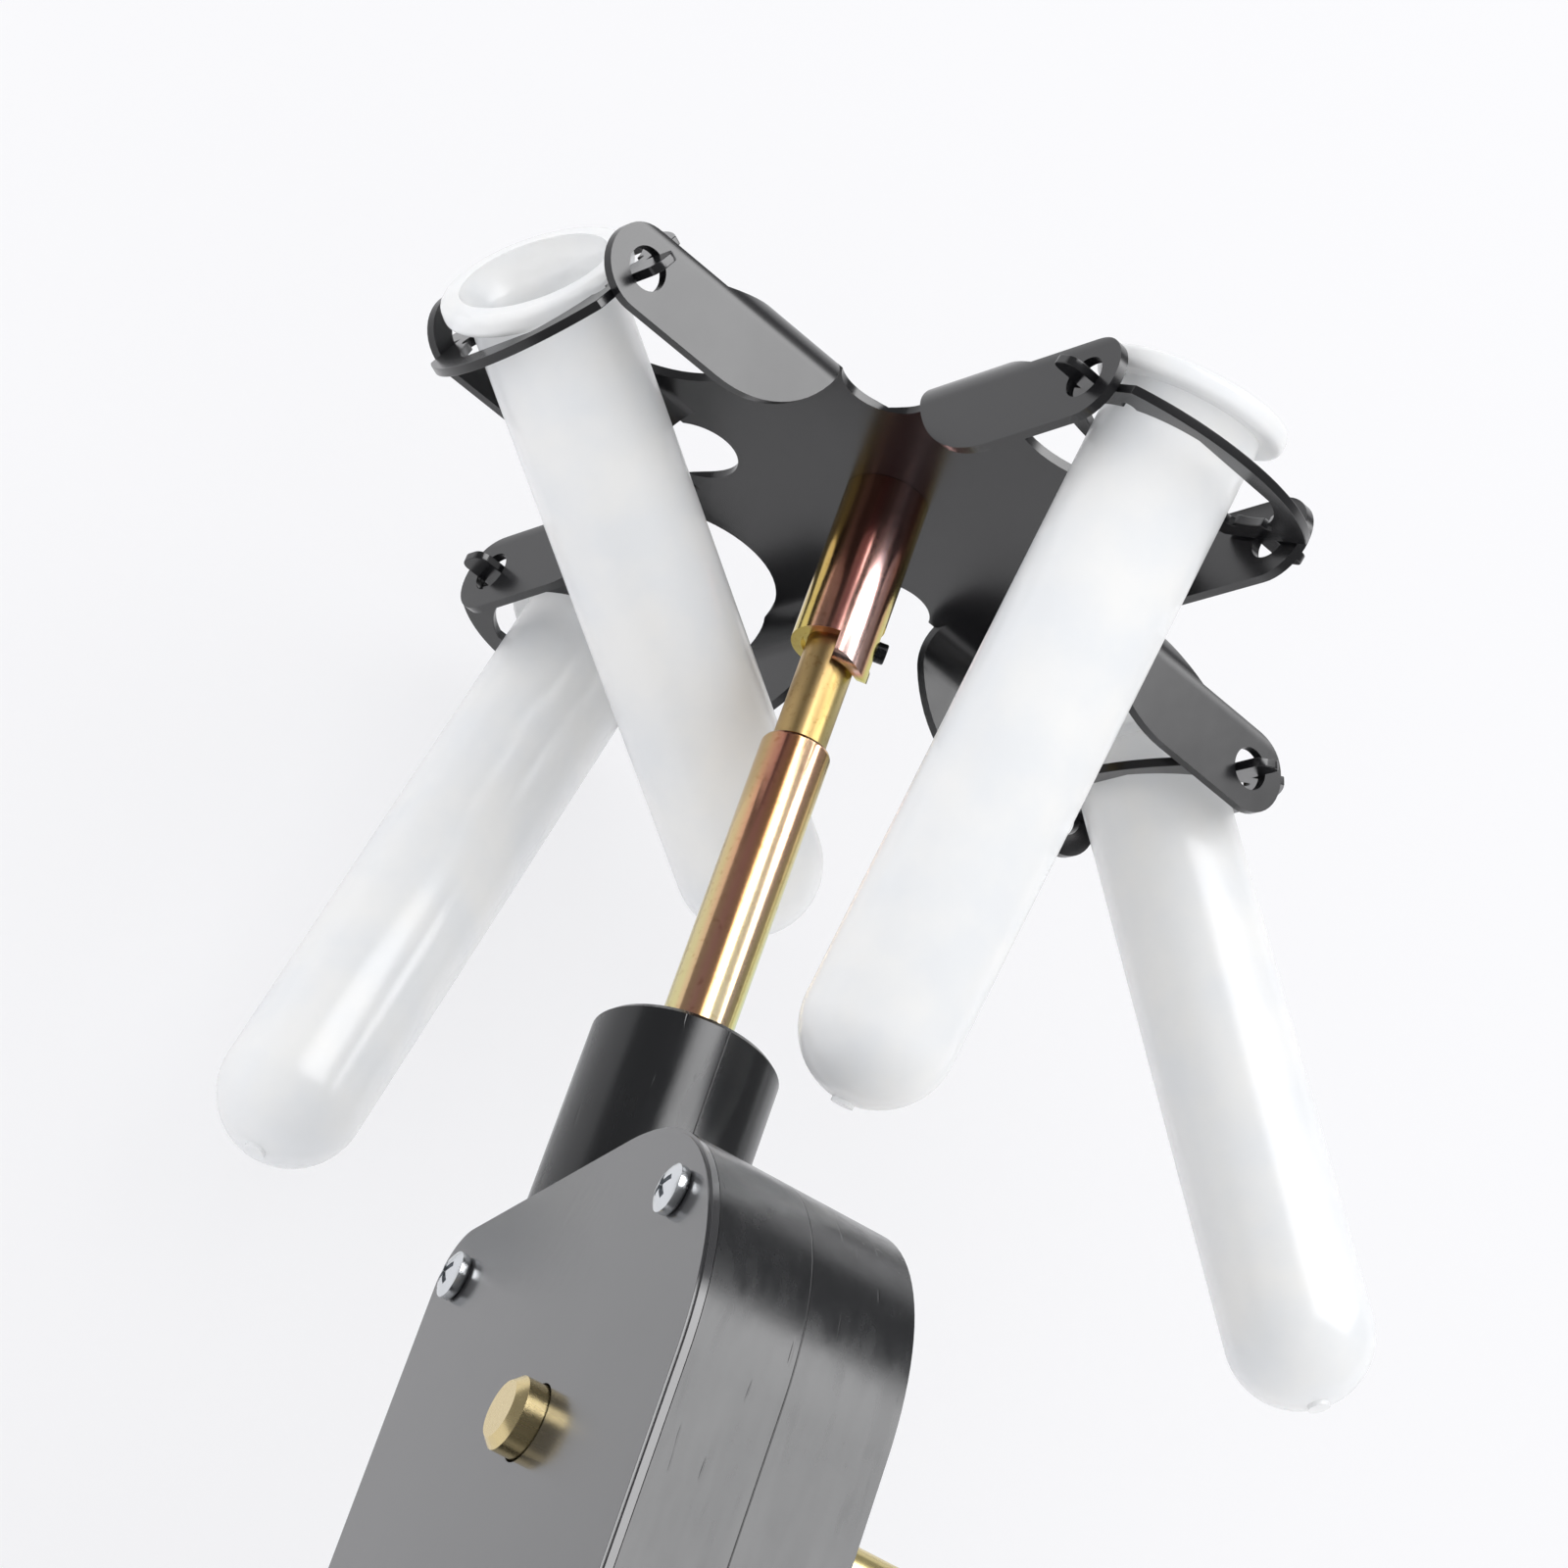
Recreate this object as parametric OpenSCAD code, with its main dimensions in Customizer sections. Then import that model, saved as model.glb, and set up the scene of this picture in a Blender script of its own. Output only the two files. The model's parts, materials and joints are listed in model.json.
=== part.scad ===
// Hand-cranked bench centrifuge with four swing-out tubes.
// Z runs up the spindle, the cover plate faces -Y and the crank leaves the back at +Y.
// The origin lies on the spindle axis, in the clamp's bench face.

/* [Gearbox] */
// Spindle axis to the left side of the case
case_left = 21.5; // [20:0.5:30]
// Radius of the case's round shoulder, about the crank shaft
shoulder_r = 40.3; // [37:0.1:46]
// Crank shaft axis above the case's foot
shaft_rise = 42; // [38:1:60]
// Depth of the moulded case, without its cover
case_d = 27.8; // [27:0.1:34]
// Side wall of the case
case_wall = 3; // [2:0.25:4]
// Back wall of the case
back_wall = 3; // [2:0.25:5]
// Floor of the case, over the clamp
floor_wall = 4; // [3:0.5:6]
// Radius of the case's top left corner
corner_r = 7; // [4:0.5:9]
// Radius of the two corners at the foot
foot_r = 9; // [5:0.5:10]
// Thickness of the steel cover plate
cover_t = 1.5; // [1:0.1:2.5]
// Step of the cover plate's front edge
cover_round = 0.4; // [0.2:0.1:0.7]
// Neck diameter
neck_d = 26.3; // [22:0.1:27]
// Neck height above the case
neck_h = 30.3; // [20:0.1:40]
// Rim chamfer of the neck
neck_chamfer = 0.8; // [0.4:0.1:1.5]
// Cover screw head diameter
screw_head_d = 6.6; // [5.5:0.1:7.5]
// Cover screw thread diameter
screw_d = 3; // [2.5:0.1:3.5]
// Cover screw length under the head
screw_l = 10; // [8:1:14]
// Screw axis from the case's edge
screw_inset = 8.5; // [7:0.25:9.5]

/* [Gears] */
// Normal module of the worm and the wheel
gear_module = 1.2; // [1.1:0.02:1.24]
// Threads on the worm
worm_starts = 4; // [4:1:4]
// Teeth on the worm wheel
wheel_teeth = 40; // [38:1:41]
// Lead angle of the worm
lead_angle = 20.34; // [19.8:0.02:21.5]
// Face width of the wheel's teeth
wheel_face = 9; // [7:0.5:11]
// Length of the worm
worm_l = 22; // [16:1:28]
// Flank clearance of the teeth
backlash = 0.12; // [0.1:0.01:0.18]
// Hub diameter of the wheel
hub_d = 19; // [16:0.5:24]
// Hub length of the wheel
hub_l = 14.5; // [12:0.5:14.5]

/* [Spindle] */
// Spindle rod diameter
rod_d = 7.6; // [7:0.1:8]
// Fixed sleeve diameter
sleeve_d = 10; // [9.4:0.1:11]
// Sleeve height above the neck
sleeve_h = 49.2; // [40:0.2:60]
// Bare rod between the sleeve and the rotor socket
rod_show = 16.5; // [12:0.5:24]
// Rotor socket diameter
socket_d = 12.1; // [11.4:0.1:14]
// Rotor socket length up to the rotor sheet
socket_h = 26.2; // [22:0.1:36]
// Drive pin diameter
drive_pin_d = 3; // [2:0.1:3.6]
// Direction of the drive pin, seen from above
drive_pin_turn = 72; // [0:1:359]
// Running fit on the radius
fit = 0.05; // [0.03:0.01:0.08]

/* [Rotor] */
// Sheet thickness of the rotor
sheet = 1.4; // [1.2:0.1:1.8]
// Hinge axis from the spindle
hinge_r = 61.9; // [58:0.1:68]
// Hinge axis under the sheet
hinge_drop = 10.3; // [10:0.1:14]
// Gap between the two ears of an arm
ear_gap = 36.4; // [36:0.1:38]
// Height of an ear
ear_w = 12.8; // [12:0.1:13.2]
// Outer bend radius of the sheet
bend_r = 7; // [5:0.1:7]
// Radius of the cut-out between an arm's ears
cutout_r = 15.5; // [13:0.1:16]
// Bottom of the cut-out from the spindle
cutout_start = 30.5; // [29:0.1:33]
// Radius of the notch between two arms
notch_r = 5.5; // [4.5:0.1:6]
// Slope of the arm's upper edge, from the ear up to the sheet
root_slope_l = 12; // [9:0.5:14]
// Hole in the ears
ear_hole_d = 6.3; // [6:0.1:7]
// Turn of the rotor at rest
rotor_turn = 14.75; // [0:0.25:45]

/* [Rings] */
// Hole of a ring along the hinge
ring_hole_l = 28.4; // [28:0.1:29]
// Hole of a ring across the hinge
ring_hole_w = 24.6; // [24.2:0.1:25.2]
// Band of a ring across the hinge
ring_band = 4.3; // [3:0.1:5]
// Ring thickness
ring_t = 1.3; // [1:0.1:1.6]
// Width of the tongue that turns in the ear's hole
ring_tongue_w = 4.8; // [4:0.1:5]
// Tongue outside the ear
ring_tongue_out = 4.2; // [3:0.1:5]

/* [Tubes] */
// Tube diameter
tube_d = 21.3; // [20:0.1:21.6]
// Tube length with its flange
tube_l = 105.6; // [90:0.2:108]
// Tube wall
tube_wall = 1.4; // [1:0.1:2]
// Flange diameter
flange_d = 27.2; // [26.2:0.1:27.6]
// Flange thickness
flange_t = 3.4; // [2.6:0.1:4]
// Outward swing of the rings a to d at rest
ring_swing = [-65.4, -20, 0.8, 23.6]; // [-75:0.1:90]
// Sideways lean of the tubes a to d in their rings
tube_lean = [-15.6, 5, 11.2, -18]; // [-18:0.1:18]
// Flange seat of the tubes a to d above the ring's middle
tube_seat = [2.15, 5.95, 1.8, 5]; // [1.5:0.05:8]
// Place of the tubes a to d along the hinge, in their rings
tube_slip = [-1.6, -1.75, -0.15, 0.1]; // [-1.8:0.05:1.8]
// Place of the tubes a to d across the hinge, in their rings
tube_drop = [0, 1.35, 0, 0]; // [-1.4:0.05:1.4]

/* [Crank] */
// Crank shaft diameter
shaft_d = 10; // [9:0.1:11]
// Stand-out of the shaft's front end
shaft_end = 4; // [2.5:0.1:6]
// Shaft behind the case, up to the crank arm
shaft_reach = 66; // [64:1:80]
// Crank radius, shaft to grip
crank_r = 44; // [36:1:44]
// Crank arm width
arm_w = 16; // [14:0.5:20]
// Crank arm thickness
arm_t = 5; // [4:0.5:6]
// Grip length
grip_l = 56; // [45:1:75]
// Grip diameter at its waist
grip_d = 17; // [15:0.5:18]

/* [Clamp] */
// Width of the clamp bracket
clamp_w = 34; // [30:1:40]
// Thickness of the upper jaw
jaw_t = 8; // [7:0.5:10]
// Reach of the jaws in front of the spindle axis
jaw_reach = 36; // [32:1:44]
// Greatest bench thickness between the jaws
throat = 48; // [42:1:60]
// Clamp screw diameter
clamp_screw_d = 10; // [8:0.5:12]
// Gap from the bench face to the pad at rest
pad_gap = 30; // [24:1:40]
// Pad diameter
pad_d = 24; // [18:0.5:28]
// Clamp screw below the lower jaw
screw_below = 44; // [38:1:60]
// Tommy bar length
bar_l = 56; // [44:1:70]
// Tommy bar diameter
bar_d = 5; // [4:0.5:6]

/* [Hidden] */
$fn = 64;
eps = 0.01;
seat_gap = 0.05;

// gear sizes
worm_r = gear_module * worm_starts / sin(lead_angle) / 2;
wheel_r = gear_module * wheel_teeth / cos(lead_angle) / 2;
gear_centre = worm_r + wheel_r;
worm_lead = 2 * PI * worm_r * tan(lead_angle);
addendum = 0.92 * gear_module;
dedendum = 1.3 * gear_module;
worm_step = 15;
collar_r = worm_r - dedendum - 0.4;

// places along Z
foot_z = jaw_t;
shaft_z = foot_z + shaft_rise;
case_top = shaft_z + shoulder_r;
neck_top = case_top + neck_h;
sleeve_top = neck_top + sleeve_h;
socket_z = sleeve_top + rod_show;
rotor_z = socket_z + socket_h;
hinge_z = rotor_z - hinge_drop;

// places along X and Y
shaft_x = gear_centre;
case_right = shaft_x + shoulder_r;
cover_y = -(case_d + cover_t) / 2;
case_y = cover_y + cover_t;
back_y = case_y + case_d;
arm_y = back_y + shaft_reach;
cavity_y = back_y - back_wall;
rod_foot = foot_z + floor_wall + 1;

// cover screws, from the middle of the plate outwards
screw_places = [
    [-case_left + screw_inset + 0.8, case_top - screw_inset],
    [shaft_x + (shoulder_r - 5.9) * cos(48.7), shaft_z + (shoulder_r - 5.9) * sin(48.7)],
    [-case_left + screw_inset + 0.8, foot_z + screw_inset + 1],
    [case_right - screw_inset - 1, foot_z + screw_inset + 1]];
boss_r = 4;

steel_black = [0.12, 0.12, 0.13];
zinc_yellow = [0.82, 0.72, 0.38];
zinc_white = [0.8, 0.81, 0.83];
bronze = [0.72, 0.5, 0.25];
milky = [0.93, 0.94, 0.95, 0.6];
plastic_black = [0.15, 0.15, 0.16];
bright_steel = [0.62, 0.63, 0.65];

// ---------- helpers ----------

// lays an XZ outline along +Y, from y0
module along_y(y0, depth) {
    translate([0, y0 + depth, 0]) rotate([90, 0, 0]) linear_extrude(depth) children();
}

// rod along Y at a place in XZ
module rod_y(x, z, y0, y1, d) {
    translate([x, y0, z]) rotate([-90, 0, 0]) cylinder(h = y1 - y0, d = d);
}

// rectangle with round corners, from its lower left corner
module round_rect(size, r) {
    translate([r, 0]) square([size[0] - 2 * r, size[1]]);
    translate([0, r]) square([size[0], size[1] - 2 * r]);
    for (x = [r, size[0] - r], y = [r, size[1] - r]) translate([x, y]) circle(r);
}

// outline of the gearbox in XZ: straight left side and foot, round right shoulder
module case_outline(inset = 0) {
    r = shoulder_r - inset;
    translate([shaft_x, shaft_z]) circle(r, $fn = 128);
    top_r = corner_r - inset / 2;
    low_r = foot_r - inset / 2;
    translate([-case_left + inset, foot_z + inset])
        round_rect([case_left + shaft_x - inset + top_r, case_top - foot_z - 2 * inset], top_r);
    translate([-case_left + inset, foot_z + inset])
        round_rect([case_left + case_right - 2 * inset, shaft_rise - inset + low_r], low_r);
}

// ---------- gearbox ----------

module housing() color(plastic_black) difference() {
    union() {
        difference() {
            along_y(case_y, case_d) case_outline();
            along_y(case_y - eps, case_d - back_wall + eps) difference() {
                case_outline(case_wall);
                translate([-case_left, foot_z]) square([case_left + case_right, floor_wall]);
            }
        }
        // solid neck, and the tower under it that guides the spindle
        translate([0, 0, case_top - case_wall]) cylinder(h = neck_h + case_wall - neck_chamfer, d = neck_d);
        translate([0, 0, neck_top - neck_chamfer])
            cylinder(h = neck_chamfer, d1 = neck_d, d2 = neck_d - 2 * neck_chamfer);
        // bosses: four for the cover screws, one for the crank shaft, one under the spindle
        for (p = screw_places)
            along_y(case_y, case_d - eps) translate(p) circle(boss_r);
        rod_y(shaft_x, shaft_z, cavity_y - 2.4, back_y - eps, hub_d);
        translate([0, 0, foot_z + eps]) cylinder(h = floor_wall + 10, d = 18);
        // webs that tie the screw bosses to the walls
        for (p = [screw_places[0], screw_places[2]])
            along_y(case_y, case_d - eps)
                translate([-case_left + eps, p[1] - 1]) square([p[0] + case_left, 2]);
    }
    for (p = screw_places) rod_y(p[0], p[1], case_y - eps, case_y + screw_l + 3, screw_d + 2 * fit);
    // bore of the sleeve, from the cavity up through the neck
    translate([0, 0, case_top - case_wall - 1]) cylinder(h = neck_h + 5, d = sleeve_d + 2 * fit);
    // seats of the bushes
    rod_y(shaft_x, shaft_z, cavity_y - 3, back_y + eps, shaft_d + 4 + 2 * seat_gap);
    translate([0, 0, foot_z + floor_wall]) cylinder(h = 12, d = rod_d + 6 + 2 * seat_gap);
    // pilot holes for the clamp bolts
    for (x = [-1, 1]) translate([x * clamp_w / 3.4, 0, foot_z - eps])
        cylinder(h = floor_wall - 1, d = 5 + 2 * fit);
}

module cover_plate() color(steel_black) difference() {
    union() {
        along_y(cover_y + cover_round, cover_t - cover_round - seat_gap) case_outline();
        along_y(cover_y, cover_round + eps) case_outline(cover_round);
    }
    rod_y(shaft_x, shaft_z, cover_y - eps, case_y + eps, shaft_d + 0.6);
    for (p = screw_places) rod_y(p[0], p[1], cover_y - eps, case_y + eps, screw_d + 0.4);
}

module pan_screw(p) {
    head_h = 2.4;
    translate([p[0], cover_y - seat_gap, p[1]]) rotate([90, 0, 0]) difference() {
        union() {
            rotate_extrude() intersection() {
                translate([0, head_h - 6.2]) circle(6.2, $fn = 96);
                round_rect([screw_head_d / 2, head_h + 1], 0.5);
                square([screw_head_d / 2, head_h]);
            }
            translate([0, 0, -screw_l]) cylinder(h = screw_l + 0.6, d = screw_d);
            cylinder(h = 1, d = screw_head_d - 1.2);
        }
        // cross recess
        for (a = [25, 115]) rotate([0, 0, a]) translate([-1.9, -0.45, head_h - 1.2]) cube([3.8, 0.9, 2]);
    }
}

module cover_screws() color(zinc_white) for (p = screw_places) pan_screw(p);

module rear_bush() color(bronze) translate([shaft_x, cavity_y - 2.6, shaft_z]) rotate([-90, 0, 0]) difference() {
    union() {
        cylinder(h = back_wall + 2.6 + 0.8, d = shaft_d + 4);
        translate([0, 0, -1.2]) cylinder(h = 1.2, d = shaft_d + 7);
    }
    translate([0, 0, -2]) cylinder(h = back_wall + 10, d = shaft_d + 2 * fit);
}

module lower_bush() color(bronze) translate([0, 0, foot_z + floor_wall + seat_gap]) difference() {
    cylinder(h = 10, d = rod_d + 6);
    translate([0, 0, 1]) cylinder(h = 12, d = rod_d + 2 * fit);
}

module spindle_sleeve() color(zinc_yellow) translate([0, 0, case_top - case_wall - 1]) difference() {
    union() {
        cylinder(h = case_wall + 1 + neck_h + sleeve_h - 0.5, d = sleeve_d);
        translate([0, 0, case_wall + 0.5 + neck_h + sleeve_h])
            cylinder(h = 0.5, d1 = sleeve_d, d2 = sleeve_d - 0.8);
    }
    translate([0, 0, -1]) cylinder(h = neck_h + sleeve_h + 10, d = rod_d + 2 * fit);
}

// ---------- crank side ----------

module crank_shaft() color(zinc_yellow) difference() {
    union() {
        rod_y(shaft_x, shaft_z, cover_y - shaft_end + 1.2, arm_y, shaft_d);
        translate([shaft_x, cover_y - shaft_end, shaft_z]) rotate([-90, 0, 0])
            cylinder(h = 1.2, d1 = shaft_d - 2.4, d2 = shaft_d);
        // square for the crank arm, and the thread for its nut
        translate([shaft_x - shaft_d * 0.35, arm_y - eps, shaft_z - shaft_d * 0.35])
            cube([shaft_d * 0.7, arm_t, shaft_d * 0.7]);
        rod_y(shaft_x, shaft_z, arm_y, arm_y + arm_t + 7.5, 6);
    }
    translate([shaft_x, 0, shaft_z - shaft_d]) cylinder(h = 2 * shaft_d, d = 3 + 2 * fit);
}

// one worm wheel tooth as points, at its place around the wheel
function wheel_tooth(i) =
    let (
        half = (PI * gear_module / 4 - backlash / 2) / cos(lead_angle),
        slope = tan(20) / cos(lead_angle),
        at = [[-1, -dedendum], [-1, addendum], [1, addendum], [1, -dedendum]])
    [for (q = at)
        let (w = half - q[1] * slope, r = wheel_r + q[1], a = 360 * (i + 0.5) / wheel_teeth + q[0] * w / r * 180 / PI)
        [r * cos(a), r * sin(a)]];

module worm_wheel() color(bronze) difference() {
    translate([shaft_x, 0, shaft_z]) rotate([-90, 0, 0]) rotate([0, 0, 180]) union() {
        wheel_twist = wheel_face * tan(lead_angle) / wheel_r * 180 / PI;
        rotate([0, 0, -wheel_twist / 2]) translate([0, 0, -wheel_face / 2])
            linear_extrude(wheel_face, twist = -wheel_twist, slices = 4)
                polygon([for (i = [0:wheel_teeth - 1]) each wheel_tooth(i)]);
        translate([0, 0, -hub_l / 2]) cylinder(h = hub_l, d = hub_d);
    }
    rod_y(shaft_x, shaft_z, -hub_l, hub_l, shaft_d + 2 * seat_gap);
    translate([shaft_x, 0, shaft_z - hub_d]) cylinder(h = 2 * hub_d, d = 3 + 2 * seat_gap);
}

module wheel_pin() color(bright_steel) translate([shaft_x, 0, shaft_z - hub_d / 2 + 0.3])
    cylinder(h = hub_d - 0.6, d = 3);

module spacer() color(bright_steel)
    translate([shaft_x, case_y + 0.2, shaft_z]) rotate([-90, 0, 0]) difference() {
        cylinder(h = -hub_l / 2 - case_y - 0.4, d = shaft_d + 5);
        translate([0, 0, -1]) cylinder(h = 20, d = shaft_d + 2 * seat_gap);
    }

module crank_arm() color(steel_black) difference() {
    along_y(arm_y + seat_gap, arm_t) union() {
        translate([shaft_x, shaft_z]) circle(arm_w / 2);
        translate([shaft_x, shaft_z - crank_r]) circle(arm_w / 2);
        translate([shaft_x - arm_w / 2, shaft_z - crank_r]) square([arm_w, crank_r]);
    }
    side = shaft_d * 0.7 + 2 * seat_gap;
    translate([shaft_x - side / 2, arm_y - 1, shaft_z - side / 2]) cube([side, arm_t + 2, side]);
    rod_y(shaft_x, shaft_z - crank_r, arm_y - 1, arm_y + arm_t + 1, 6 + 2 * seat_gap);
}

module crank_nut() color(zinc_white) translate([shaft_x, arm_y + arm_t + 0.1, shaft_z]) rotate([-90, 0, 0])
    difference() {
        union() {
            cylinder(h = 1.2, d = 13);
            translate([0, 0, 1.2]) cylinder(h = 4.8, d = 11.5, $fn = 6);
        }
        translate([0, 0, -1]) cylinder(h = 10, d = 6 + 2 * seat_gap);
    }

// bolt that the grip turns on: head outside, riveted behind the arm
module grip_pin() color(zinc_white) {
    end = arm_y + arm_t + grip_l;
    rod_y(shaft_x, shaft_z - crank_r, arm_y - 1.2, end + 0.6, 6);
    rod_y(shaft_x, shaft_z - crank_r, arm_y - 1.8, arm_y - 0.1 + seat_gap, 8.5);
    rod_y(shaft_x, shaft_z - crank_r, end + 0.5, end + 2.6, 10);
    rod_y(shaft_x, shaft_z - crank_r, arm_y + arm_t + 0.15, arm_y + arm_t + 1.3, 10);
}

module crank_grip() color(plastic_black)
    translate([shaft_x, arm_y + arm_t + 1.6, shaft_z - crank_r]) rotate([-90, 0, 0]) difference() {
        l = grip_l - 1.4;
        bulge_r = l * 1.6;
        rotate_extrude() intersection() {
            round_rect([grip_d / 2 + 3, l], 2.5);
            union() {
                // gently crowned body between two round beads
                translate([grip_d / 2 + 1.6 - bulge_r, l / 2]) circle(bulge_r, $fn = 200);
                translate([0, 4]) circle(grip_d / 2 + 1);
                translate([0, l - 4]) circle(grip_d / 2 + 1);
            }
            square([grip_d, l]);
        }
        translate([0, 0, -1]) cylinder(h = l + 2, d = 6.4);
    }

// ---------- spindle ----------

module spindle_rod() color(zinc_yellow) difference() {
    translate([0, 0, rod_foot + 0.3]) cylinder(h = rotor_z - 2 - rod_foot, d = rod_d);
    worm_pin_hole(fit);
    drive_pin_shape(seat_gap);
}

// one worm thread section as points
function worm_thread(i) =
    let (
        half = worm_lead / worm_starts / 4 - backlash / 2,
        slope = tan(20) / cos(lead_angle),
        at = [[-1, -dedendum], [-1, 0], [-1, addendum], [1, addendum], [1, 0], [1, -dedendum]])
    [for (q = at)
        let (w = half - q[1] * slope, r = worm_r + q[1], a = 360 * (i / worm_starts + q[0] * w / worm_lead))
        [r * cos(a), r * sin(a)]];

module worm() color(bright_steel) difference() {
    turn = 360 * worm_l / worm_lead;
    union() {
        translate([0, 0, shaft_z - worm_l / 2]) rotate([0, 0, -turn / 2])
            linear_extrude(worm_l, twist = -turn, slices = ceil(turn / worm_step))
                polygon([for (i = [0:worm_starts - 1]) each worm_thread(i)]);
        // plain collar at both ends
        translate([0, 0, shaft_z - worm_l / 2 - 6]) cylinder(h = worm_l + 12, r = collar_r);
    }
    translate([0, 0, shaft_z - worm_l]) cylinder(h = 2 * worm_l, d = rod_d + 2 * seat_gap);
    worm_pin_hole(seat_gap);
}

// cross hole through the worm's lower collar
module worm_pin_hole(gap) {
    translate([-2 * worm_r, 0, shaft_z - worm_l / 2 - 3]) rotate([0, 90, 0]) cylinder(h = 4 * worm_r, d = 2.5 + 2 * gap);
}

module worm_pin() color(bright_steel)
    translate([-collar_r + 0.2, 0, shaft_z - worm_l / 2 - 3]) rotate([0, 90, 0])
        cylinder(h = 2 * collar_r - 0.4, d = 2.5);

// the pin stands out on one side of the rod only
module drive_pin_shape(gap) {
    translate([0, 0, socket_z + 2.3]) rotate([0, 0, drive_pin_turn]) rotate([0, 90, 0])
        translate([0, 0, -rod_d / 2 + 1.2 - gap]) cylinder(h = rod_d / 2 + socket_d / 2 + gap, d = drive_pin_d + 2 * gap);
}

module drive_pin() color(steel_black) drive_pin_shape(0);

// tube that sockets the rotor, with a bayonet slot and a round tongue at its foot
module rotor_socket() color(zinc_yellow) difference() {
    slot = drive_pin_d + 0.7;
    tongue_l = 4.6;
    tongue_r = 4.2;
    union() {
        translate([0, 0, socket_z - tongue_l]) cylinder(h = socket_h + tongue_l - seat_gap, d = socket_d);
        // spigot through the sheet, swaged over on top
        translate([0, 0, rotor_z - 1]) cylinder(h = sheet + 1.4, d = socket_d - 3);
        translate([0, 0, rotor_z + sheet + seat_gap]) rotate_extrude() intersection() {
            translate([0, 2.4 - 9]) circle(9, $fn = 96);
            square([socket_d / 2 + 0.5, 3]);
        }
    }
    // the foot is cut back all round, apart from the tongue
    rotate([0, 0, drive_pin_turn]) translate([0, 0, socket_z]) {
        rotate([90, 0, 90]) linear_extrude(socket_d) difference() {
            translate([-socket_d, -tongue_l - 1]) square([2 * socket_d, tongue_l + 1]);
            translate([-slot / 2 - 1.1, 0]) circle(tongue_r);
        }
        translate([-socket_d, -socket_d, -tongue_l - 1]) cube([socket_d + eps, 2 * socket_d, tongue_l + 1]);
    }
    translate([0, 0, socket_z - tongue_l - 1]) cylinder(h = socket_h + tongue_l, d = rod_d + 2 * fit);
    // inner chamfer of the foot
    translate([0, 0, socket_z - tongue_l - 1]) cylinder(h = tongue_l + 1.6, d1 = rod_d + 1.8, d2 = rod_d + 1.6);
    rotate([0, 0, drive_pin_turn]) translate([0, -slot / 2, socket_z - 2])
        cube([socket_d, slot, 2 + 2.3 + drive_pin_d / 2 + 1.8]);
}

// ---------- rotor ----------

// section of an arm: flat sheet with both edges bent down into ears
module arm_section() {
    half = ear_gap / 2 + sheet;
    drop = hinge_drop + ear_w / 2 + 1;
    difference() {
        union() {
            translate([-half, -drop]) square([2 * half, drop + sheet - bend_r]);
            translate([-half + bend_r, -drop]) square([2 * (half - bend_r), drop + sheet]);
            for (s = [-1, 1]) translate([s * (half - bend_r), sheet - bend_r]) circle(bend_r);
        }
        inner = bend_r - sheet;
        translate([-half + sheet, -drop - 1]) square([ear_gap, drop + 1 - inner]);
        translate([-ear_gap / 2 + inner, -drop - 1]) square([ear_gap - 2 * inner, drop + 1]);
        for (s = [-1, 1]) translate([s * (ear_gap / 2 - inner), -inner]) circle(inner);
    }
}

// side view of one arm: sheet near the spindle, ear strip with a round end outside
module arm_side() {
    top = -hinge_drop + ear_w / 2;
    low = -hinge_drop - ear_w / 2;
    root = cutout_start + 7.7;
    sweep_x = hinge_r - 16;
    sweep_r = 19.1;
    difference() {
        union() {
            square([root + 6, sheet + 1]);
            translate([20, low]) square([hinge_r - 20, -low + eps]);
            translate([hinge_r, -hinge_drop]) circle(ear_w / 2);
        }
        // above the strip, with a slope up to the sheet at the root
        polygon([[root - 1, sheet + 2], [root - 1, sheet], [root - 1 + root_slope_l, top], [2 * hinge_r, top],
            [2 * hinge_r, sheet + 2]]);
        // sweep of the lower edge up to the notch
        difference() {
            translate([-1, low - 1]) square([sweep_x + 1, -low + 1]);
            translate([sweep_x, low + sweep_r]) circle(sweep_r, $fn = 128);
            translate([-2, 0]) square([sweep_x, 10]);
        }
    }
}

// two opposite arms
module arm_pair() {
    reach = hinge_r + ear_w;
    intersection() {
        rotate([90, 0, 0]) translate([0, 0, -reach]) linear_extrude(2 * reach) arm_section();
        union() {
            for (s = [0, 180]) rotate([0, 0, s]) rotate([90, 0, 90]) translate([0, 0, -ear_gap])
                linear_extrude(2 * ear_gap) arm_side();
        }
    }
}

// hole through both ears of one arm
module ear_holes() {
    translate([-ear_gap, -hinge_r, -hinge_drop]) rotate([0, 90, 0]) cylinder(h = 2 * ear_gap, d = ear_hole_d);
}

module rotor_plate() color(steel_black) translate([0, 0, rotor_z]) rotate([0, 0, rotor_turn]) difference() {
    union() {
        arm_pair();
        rotate([0, 0, 90]) arm_pair();
    }
    for (a = [0:90:270]) rotate([0, 0, a]) {
        // cut-out between the ears, where the tube swings up
        translate([0, -cutout_start - cutout_r, -bend_r]) cylinder(h = bend_r + 3, r = cutout_r);
        // notch between neighbouring arms
        rotate([0, 0, 45]) translate([0, -30.4, -hinge_drop]) cylinder(h = hinge_drop + 3, r = notch_r);
        ear_holes();
    }
    translate([0, 0, -1]) cylinder(h = sheet + 2, d = socket_d - 3 + 2 * seat_gap);
}

// ---------- rings and tubes ----------

// places a piece in the frame of ring i at rest: X along the hinge, Z up the tube
module on_hinge(i) {
    arm = [0, 90, 270, 180];
    translate([0, 0, hinge_z]) rotate([0, 0, rotor_turn + arm[i]]) translate([0, -hinge_r, 0])
        rotate([-ring_swing[i], 0, 0]) children();
}

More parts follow.
